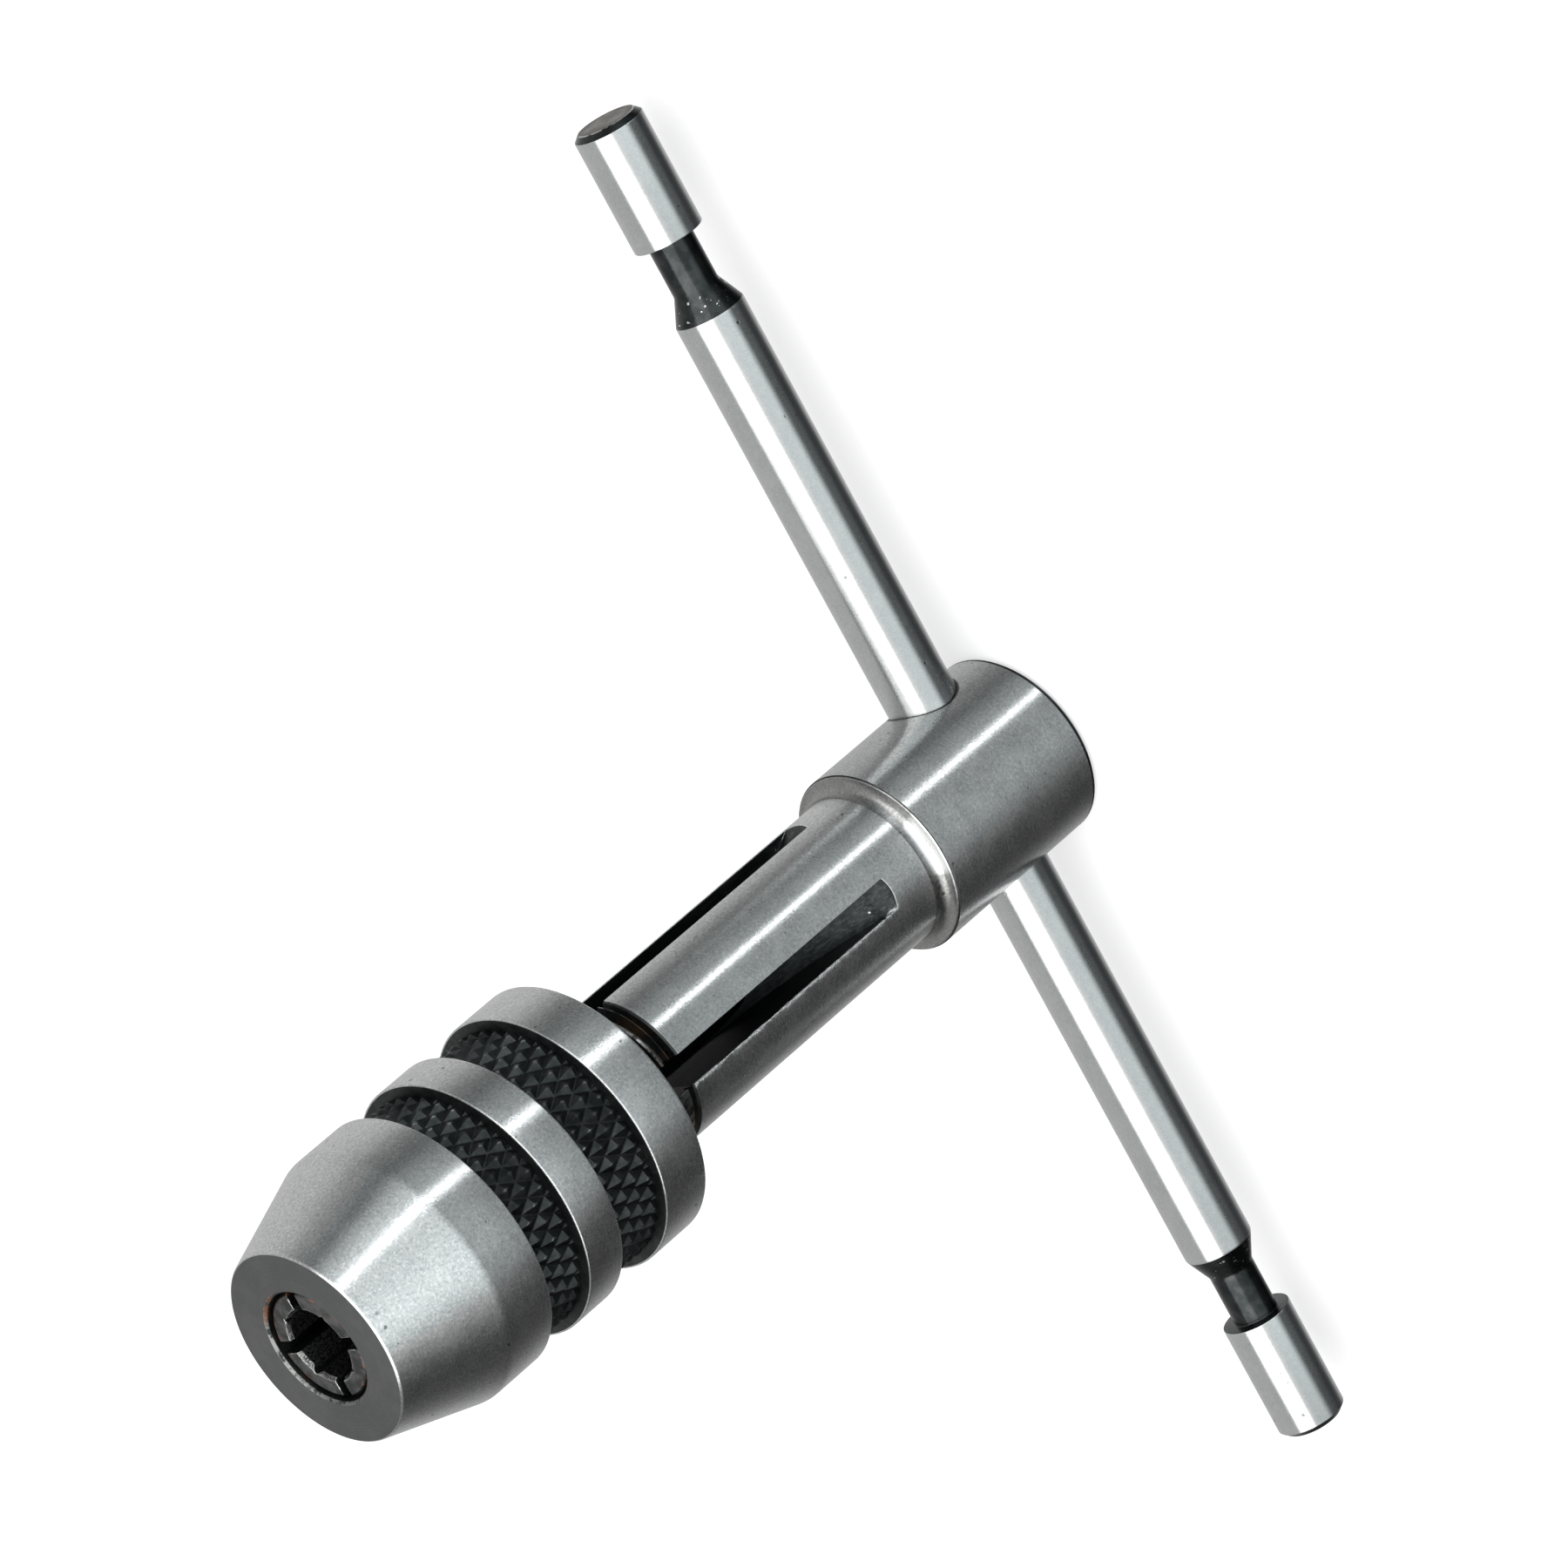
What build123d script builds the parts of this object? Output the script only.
from build123d import *
import math
import os

# Sliding-bar tap wrench with a four-finger spring chuck.
#
# Frame: millimetres, +Z along the chuck axis towards the nose. The origin is
# the centre of the flat end face of the head, so the wrench stands on its head
# with the nose up. The sliding bar runs along X. "Rear" is towards the head,
# "front" towards the nose. Names ending in _R are radii, in _Z heights.

os.makedirs("parts", exist_ok=True)

# ---------------------------------------------------------------------------
# Sizes shared between pieces
# ---------------------------------------------------------------------------
BAR_Z = 6.3              # bar axis above the end face
BAR_R = 3.0
BODY_END_Z = 62.0        # front end of the spindle's solid fingers
SLOT_WIDTH = 2.8         # slots between the fingers and between the jaw necks
DETENT_TAP_Z = 18.2      # rear end of the grub screw's hole

# Thread between spindle and sleeve, right-hand
PITCH = 1.25
THREAD_MAJOR_R = 6.78
THREAD_MINOR_R = 6.05
GROOVE_HALF = 0.08       # half width of the spindle thread's flat root
THREAD_PHASE_Z = 49.525  # height of a spindle groove's centre on the +X side
FLANK = math.tan(math.radians(30.0))


# ---------------------------------------------------------------------------
# Helpers
# ---------------------------------------------------------------------------
def in_xz(points):
    """(radius, z) points placed in the XZ plane."""
    return [(r, 0, z) for r, z in points]


def turned(points):
    """Solid of revolution about Z from (radius, z) points."""
    outline = Polyline(*in_xz(points), close=True)
    return revolve(make_face(outline), axis=Axis.Z, revolution_arc=360)


def disc(radius, z0, z1):
    """Plain cylinder on the Z axis from z0 to z1."""
    return Pos(0, 0, (z0 + z1) / 2) * Cylinder(radius, z1 - z0)


def block(x0, x1, width, z0, z1):
    """Box from x0 to x1 and z0 to z1, its width centred on the XZ plane."""
    return Pos((x0 + x1) / 2, 0, (z0 + z1) / 2) * Box(x1 - x0, width, z1 - z0)


def single(shape):
    """The largest solid of a boolean result."""
    return max(shape.solids(), key=lambda solid: solid.volume)


def save(name, shape):
    shape.label = name
    export_step(shape, os.path.join("parts", name + ".step"))


def helix_form(inner_r, inner_half, outer_r, outer_half, z_start, z_end):
    """Solid swept along a right-hand helix, a trapezium in section. Its centre
    crosses the +X side at THREAD_PHASE_Z plus whole pitches."""
    turn = 360.0 * (((z_start - THREAD_PHASE_Z) % PITCH) / PITCH)
    path = Helix(
        pitch=PITCH, height=z_end - z_start, radius=THREAD_MAJOR_R, center=(0, 0, z_start)
    )
    trapezium = [
        (inner_r, z_start - inner_half),
        (outer_r, z_start - outer_half),
        (outer_r, z_start + outer_half),
        (inner_r, z_start + inner_half),
    ]
    section = make_face(Polyline(*in_xz(trapezium), close=True))
    return Rot(0, 0, turn) * sweep(section, path=path, is_frenet=True)


def screw_form(radius, root_r, root_half, z0, z1):
    """Threaded rod from z0 to z1 with a 60 degree groove, flat at the root.

    The boolean can fail for some helix starts, so the start of the groove is
    moved along the rod until the cut removes the volume that it should."""
    rod = disc(radius, z0, z1)
    depth = radius - root_r
    area = (2 * root_half + depth * FLANK) * depth
    top_r = radius + 0.1  # the cutting form stands proud of the rod
    top_half = root_half + (top_r - root_r) * FLANK
    for offset in (0.3, -0.2, 0.62, 0.8, 0.1, 0.0, 0.45, -0.1, 0.2, 0.5, 0.7):
        start = z0 + offset
        result = rod - helix_form(root_r, root_half, top_r, top_half, start, z1 + 0.6)
        removed = rod.volume - sum(solid.volume for solid in result.solids())
        turns = (z1 - max(start, z0)) / PITCH
        expected = area * 2 * math.pi * (root_r + radius) / 2 * turns
        if abs(removed - expected) < 0.06 * expected and len(result.solids()) == 1:
            return result
    raise RuntimeError("thread form not cut")


# ---------------------------------------------------------------------------
# Spindle body: head, shank, thread and the slotted fingers
# ---------------------------------------------------------------------------
HEAD_R = 8.25
HEAD_LENGTH = 17.9       # end face to shoulder
HEAD_END_CHAMFER = 0.35  # at the flat end face
HEAD_LIP_CHAMFER = 0.18  # at the shoulder
SHANK_R = 6.875
SHOULDER_FILLET = 1.05   # concave, from the shoulder into the shank
SHANK_END_Z = 48.45
RELIEF_R = 6.0           # neck between shank and thread
THREAD_START_Z = 48.9
BAR_HOLE_PLAY = 0.06     # on the radius

COLLET_BORE_R = 3.75
COLLET_BORE_Z = 51.0     # shoulder of the drilled bore
DRILL_HALF_ANGLE = 59.0
DETENT_TAP_R = 2.02      # hole for the grub screw
DETENT_BORE_R = 1.55     # bore of the ball and its spring

SLOT_START_Z = 22.9      # rear end of a slot, on the shank surface
SLOT_CUTTER_R = 40.0     # slitting cutter that leaves the curved run-out
SLOT_FLOOR_R = 1.5       # how near to the axis the cutter reaches
SLOT_DEPTH = 12.0        # cut outwards from the floor, past the surface


def spindle_blank():
    """Head and shank, as far as the start of the thread."""
    arc_r = SHANK_R + SHOULDER_FILLET
    arc_z = HEAD_LENGTH + SHOULDER_FILLET
    head = [
        (0, 0),
        (HEAD_R - HEAD_END_CHAMFER, 0),
        (HEAD_R, HEAD_END_CHAMFER),
        (HEAD_R, HEAD_LENGTH - HEAD_LIP_CHAMFER),
        (HEAD_R - HEAD_LIP_CHAMFER, HEAD_LENGTH),
        (arc_r, HEAD_LENGTH),
    ]
    shoulder = [
        (arc_r, HEAD_LENGTH),
        (
            arc_r - SHOULDER_FILLET * math.cos(math.radians(45)),
            arc_z - SHOULDER_FILLET * math.sin(math.radians(45)),
        ),
        (SHANK_R, arc_z),
    ]
    shank = [
        (SHANK_R, arc_z),
        # broken edge and slope down into the relief
        (SHANK_R, SHANK_END_Z - 0.3),
        (SHANK_R - 0.12, SHANK_END_Z - 0.08),
        (RELIEF_R, SHANK_END_Z + 0.3),
        (RELIEF_R, THREAD_START_Z),
        (0, THREAD_START_Z),
        (0, 0),
    ]
    outline = (
        Polyline(*in_xz(head)) + ThreePointArc(*in_xz(shoulder)) + Polyline(*in_xz(shank))
    )
    return revolve(make_face(outline), axis=Axis.Z, revolution_arc=360)


def axial_bore():
    """Detent bore, grub screw hole and collet bore with its drilled end."""
    drill_cone = (COLLET_BORE_R - DETENT_TAP_R) / math.tan(math.radians(DRILL_HALF_ANGLE))
    return turned(
        [
            (0, BAR_Z),
            (DETENT_BORE_R, BAR_Z),
            (DETENT_BORE_R, DETENT_TAP_Z),
            (DETENT_TAP_R, DETENT_TAP_Z),
            (DETENT_TAP_R, COLLET_BORE_Z - drill_cone),
            (COLLET_BORE_R, COLLET_BORE_Z),
            (COLLET_BORE_R, BODY_END_Z + 1),
            (0, BODY_END_Z + 1),
        ]
    )


def finger_slot():
    """Slot on the +X side, with the cutter's curved run-out at its rear end."""
    cutter_x = SLOT_FLOOR_R + SLOT_CUTTER_R
    cutter_z = SLOT_START_Z + math.sqrt(SLOT_CUTTER_R**2 - (cutter_x - SHANK_R) ** 2)
    slot = Pos(cutter_x, 0, cutter_z) * Rot(90, 0, 0) * Cylinder(SLOT_CUTTER_R, SLOT_WIDTH)
    slot += block(SLOT_FLOOR_R, SLOT_FLOOR_R + SLOT_DEPTH, SLOT_WIDTH, cutter_z, BODY_END_Z + 2)
    return slot


def spindle_body():
    thread = screw_form(
        THREAD_MAJOR_R, THREAD_MINOR_R, GROOVE_HALF, THREAD_START_Z, BODY_END_Z
    )
    body = single(spindle_blank() + thread)
    bar_hole = Rot(0, 90, 0) * Cylinder(BAR_R + BAR_HOLE_PLAY, 4 * HEAD_R)
    body = body - Pos(0, 0, BAR_Z) * bar_hole
    body = body - axial_bore()
    slot = finger_slot()
    for k in range(4):
        body = body - Rot(0, 0, 90 * k) * slot
    return single(body)


save("spindle_body", spindle_body())

# ---------------------------------------------------------------------------
# Spring jaws, one in front of each finger, at 45, 135, 225 and 315 degrees
# ---------------------------------------------------------------------------
JAW_REAR_Z = BODY_END_Z + 0.08  # root of the thin spring neck
JAW_HEAD_Z = 66.0        # the neck thickens into the jaw head
JAW_HEAD_FULL_Z = JAW_HEAD_Z + 0.6  # the head has its full thickness
JAW_TIP_Z = 85.10
JAW_NECK_OUTER_R = 5.2
JAW_NECK_INNER_R = 4.2
JAW_HEAD_R = 6.15
JAW_TIP_R = 4.756
JAW_CONE_ANGLE = 10.0    # half angle of the outer cone
JAW_GAP = 1.1            # saw cut between the jaw heads
GRIP_R = 3.1             # gripping bore
GRIP_REAR_Z = 70.0
JAW_REAR_BORE_R = 4.0
GRIP_SQUARE = 5.02       # square broached through the grip, corners mid-jaw


def spring_jaw():
    """The jaw at 45 degrees, a quarter of a turned ring."""
    cone = math.tan(math.radians(JAW_CONE_ANGLE))
    cone_rear_z = JAW_TIP_Z - (JAW_HEAD_R - JAW_TIP_R) / cone
    ring = turned(
        [
            (JAW_NECK_INNER_R, JAW_REAR_Z),
            (JAW_NECK_OUTER_R, JAW_REAR_Z),
            (JAW_NECK_OUTER_R, JAW_HEAD_Z),
            (JAW_HEAD_R - 0.45, JAW_HEAD_Z + 0.05),
            (JAW_HEAD_R, JAW_HEAD_FULL_Z),
            (JAW_HEAD_R, cone_rear_z),
            # broken edges outside and inside the tip
            (JAW_TIP_R + 0.25 * cone, JAW_TIP_Z - 0.25),
            (JAW_TIP_R - 0.2, JAW_TIP_Z),
            (GRIP_R + 0.22, JAW_TIP_Z),
            (GRIP_R, JAW_TIP_Z - 0.3),
            (GRIP_R, GRIP_REAR_Z),
            (JAW_REAR_BORE_R, GRIP_REAR_Z - 0.9),
            (JAW_REAR_BORE_R, JAW_HEAD_FULL_Z),
            (JAW_NECK_INNER_R, JAW_HEAD_Z),
        ]
    )
    half_square = GRIP_SQUARE / 2
    ring = ring - block(
        -half_square, half_square, GRIP_SQUARE, GRIP_REAR_Z - 2, JAW_TIP_Z + 1
    )
    middle_z = (JAW_REAR_Z + JAW_TIP_Z) / 2
    jaw = ring & Pos(10, 10, middle_z) * Box(20, 20, JAW_TIP_Z - JAW_REAR_Z + 4)
    # half of a wide slot beside the neck and of a saw cut beside the head
    neck_slot = block(-1, 13, SLOT_WIDTH, JAW_REAR_Z - 1, JAW_HEAD_Z + 0.4)
    saw_cut = block(-1, 13, JAW_GAP, middle_z - 15, middle_z + 15)
    for angle in (0, 90):
        jaw = jaw - Rot(0, 0, angle) * neck_slot
        jaw = jaw - Rot(0, 0, angle) * saw_cut
    return single(jaw)


jaw = spring_jaw()
for k in range(4):
    save(f"spring_jaw_{k + 1}", single(Rot(0, 0, 90 * k) * jaw))

# ---------------------------------------------------------------------------
# Chuck sleeve: three bands, two recesses between them and a cone nose
# ---------------------------------------------------------------------------
SLEEVE_R = 11.6
SLEEVE_REAR_Z = 53.3
SLEEVE_REAR_CHAMFER = 0.3
RECESSES = [(58.0, 63.3), (67.1, 71.6)]  # rear and front z of each recess
RECESS_R = 10.75
BAND_CHAMFER = 0.1       # band edges at the recesses
CONE_START_Z = 76.45
NOSE_Z = 85.5
NOSE_R = 8.66            # at the front of the cone
NOSE_RIM = 0.16          # broken edge round the nose face
NOSE_HOLE_R = 5.0
NOSE_HOLE_CHAMFER = 0.22
NOSE_HOLE_LENGTH = 1.2
CHAMBER_R = 6.95
INNER_CONE_ANGLE = 12.0  # half angle of the inner cone that closes the jaws
MOUTH_R = 7.55
MOUTH_CHAMFER = 0.2
RING_GROOVE_R = 8.25
RING_GROOVE_REAR_Z = 54.0
RING_GROOVE_FRONT_Z = 55.05
RING_INNER_R = 6.98      # snap ring's bore
RING_LAND_R = RING_INNER_R + 0.1  # sleeve bore just in front of the ring

NUT_REAR_Z = 55.3        # ends of the internal thread
NUT_FRONT_Z = 63.65
NUT_MINOR_R = 6.30       # crest of the internal thread
NUT_MAJOR_R = 6.92       # root of the internal thread
FLANK_PLAY = 0.06        # axial play on each flank


def chuck_sleeve():
    recess_points = []
    for rear, front in RECESSES:
        recess_points += [
            (SLEEVE_R, rear - BAND_CHAMFER),
            (SLEEVE_R - BAND_CHAMFER, rear),
            (RECESS_R, rear),
            (RECESS_R, front),
            (SLEEVE_R - BAND_CHAMFER, front),
            (SLEEVE_R, front + BAND_CHAMFER),
        ]
    inner_cone = math.tan(math.radians(INNER_CONE_ANGLE))
    chamber_front_z = NOSE_Z - NOSE_HOLE_LENGTH - (CHAMBER_R - NOSE_HOLE_R) / inner_cone
    blank_bore_r = NUT_MINOR_R - 1.0  # left small, opened out by the tap form
    sleeve = turned(
        [
            (MOUTH_R + MOUTH_CHAMFER, SLEEVE_REAR_Z),
            (SLEEVE_R - SLEEVE_REAR_CHAMFER, SLEEVE_REAR_Z),
            (SLEEVE_R, SLEEVE_REAR_Z + SLEEVE_REAR_CHAMFER),
            *recess_points,
            (SLEEVE_R, CONE_START_Z),
            (NOSE_R, NOSE_Z - NOSE_RIM),
            (NOSE_R - NOSE_RIM, NOSE_Z),
            (NOSE_HOLE_R + NOSE_HOLE_CHAMFER, NOSE_Z),
            (NOSE_HOLE_R, NOSE_Z - NOSE_HOLE_CHAMFER),
            (NOSE_HOLE_R, NOSE_Z - NOSE_HOLE_LENGTH),
            (CHAMBER_R, chamber_front_z),
            (CHAMBER_R, NUT_FRONT_Z),
            (blank_bore_r, NUT_FRONT_Z),
            (blank_bore_r, NUT_REAR_Z),
            (RING_LAND_R, NUT_REAR_Z),
            (RING_LAND_R, RING_GROOVE_FRONT_Z),
            (RING_GROOVE_R, RING_GROOVE_FRONT_Z),
            (RING_GROOVE_R, RING_GROOVE_REAR_Z),
            (MOUTH_R, RING_GROOVE_REAR_Z),
            (MOUTH_R, SLEEVE_REAR_Z + MOUTH_CHAMFER),
        ]
    )
    # the tap form's groove leaves a ridge that runs in the spindle's groove
    ridge_half = GROOVE_HALF + (NUT_MINOR_R - THREAD_MINOR_R) * FLANK - FLANK_PLAY
    tap_form = screw_form(
        NUT_MAJOR_R, NUT_MINOR_R, ridge_half, NUT_REAR_Z - 1.3, NUT_FRONT_Z + 1.35
    )
    return single(sleeve - tap_form)


save("chuck_sleeve", chuck_sleeve())

# ---------------------------------------------------------------------------
# Snap ring in the sleeve's mouth, split so that it can be sprung in
# ---------------------------------------------------------------------------
RING_OUTER_R = 8.15
RING_THICKNESS = 0.9
RING_GAP = 2.4
RING_GAP_ANGLE = 200     # degrees from +X


def snap_ring():
    ring_z = (RING_GROOVE_REAR_Z + RING_GROOVE_FRONT_Z) / 2
    ring = disc(RING_OUTER_R, ring_z - RING_THICKNESS / 2, ring_z + RING_THICKNESS / 2)
    ring = ring - disc(RING_INNER_R, ring_z - 2, ring_z + 2)
    gap = Pos(RING_OUTER_R, 0, ring_z) * Box(4, RING_GAP, 3)
    return single(ring - Rot(0, 0, RING_GAP_ANGLE) * gap)


save("sleeve_snap_ring", snap_ring())

# ---------------------------------------------------------------------------
# Sliding bar along X
# ---------------------------------------------------------------------------
BAR_LENGTH = 124.0
KNOB_LENGTH = 10.6       # full-diameter knob at each end
KNOB_CHAMFER = 0.5
KNOB_INNER_CHAMFER = 0.12
NECK_LENGTH = 4.6        # turned-down neck behind the knob
NECK_CONE_LENGTH = 2.3   # taper from the neck back to the full diameter
NECK_R = 1.95


def t_bar():
    half = BAR_LENGTH / 2
    neck_out = half - KNOB_LENGTH
    neck_in = neck_out - NECK_LENGTH
    # (radius, distance from the middle of the bar), end face first
    half_outline = [
        (0.0, half),
        (BAR_R - KNOB_CHAMFER, half),
        (BAR_R, half - KNOB_CHAMFER),
        (BAR_R, neck_out + KNOB_INNER_CHAMFER),
        (BAR_R - KNOB_INNER_CHAMFER, neck_out),
        (NECK_R, neck_out),
        (NECK_R, neck_in),
        (BAR_R, neck_in - NECK_CONE_LENGTH),
    ]
    outline = half_outline + [(r, -z) for r, z in reversed(half_outline)]
    return single(Pos(0, 0, BAR_Z) * Rot(0, 90, 0) * turned(outline))


save("t_bar", t_bar())

# ---------------------------------------------------------------------------
# Detent: ball, coil spring and grub screw, on the axis above the bar
# ---------------------------------------------------------------------------
BALL_R = 1.5
BALL_Z = BAR_Z + BAR_R + BALL_R + 0.02  # just clear of the bar
SPRING_WIRE_R = 0.17
SPRING_MEAN_R = 1.15
SPRING_REAR_Z = 12.10
SPRING_FRONT_Z = 18.02
SPRING_TURNS = 7.0
SCREW_R = 2.0
SCREW_REAR_Z = DETENT_TAP_Z + 0.05
SCREW_LENGTH = 4.0
SCREW_REAR_CHAMFER = 0.35
SCREW_FRONT_CHAMFER = 0.3
SOCKET_FLATS = 2.0       # across the flats of the hexagon
SOCKET_DEPTH = 1.7


def detent_spring():
    length = SPRING_FRONT_Z - SPRING_REAR_Z
    coil = Helix(
        pitch=length / SPRING_TURNS,
        height=length,
        radius=SPRING_MEAN_R,
        center=(0, 0, SPRING_REAR_Z),
    )
    wire_plane = Plane(origin=coil @ 0, z_dir=coil % 0)
    return single(sweep(wire_plane * Circle(SPRING_WIRE_R), path=coil, is_frenet=True))


def detent_screw():
    front_z = SCREW_REAR_Z + SCREW_LENGTH
    screw = turned(
        [
            (0, SCREW_REAR_Z),
            (SCREW_R - SCREW_REAR_CHAMFER, SCREW_REAR_Z),
            (SCREW_R, SCREW_REAR_Z + SCREW_REAR_CHAMFER),
            (SCREW_R, front_z - SCREW_FRONT_CHAMFER),
            (SCREW_R - SCREW_FRONT_CHAMFER, front_z),
            (0, front_z),
        ]
    )
    hexagon = RegularPolygon(SOCKET_FLATS / 2, 6, major_radius=False)
    socket = extrude(Pos(0, 0, front_z - SOCKET_DEPTH) * hexagon, SOCKET_DEPTH + 1)
    return single(screw - socket)


save("detent_ball", Pos(0, 0, BALL_Z) * Sphere(BALL_R))
save("detent_spring", detent_spring())
save("detent_screw", detent_screw())
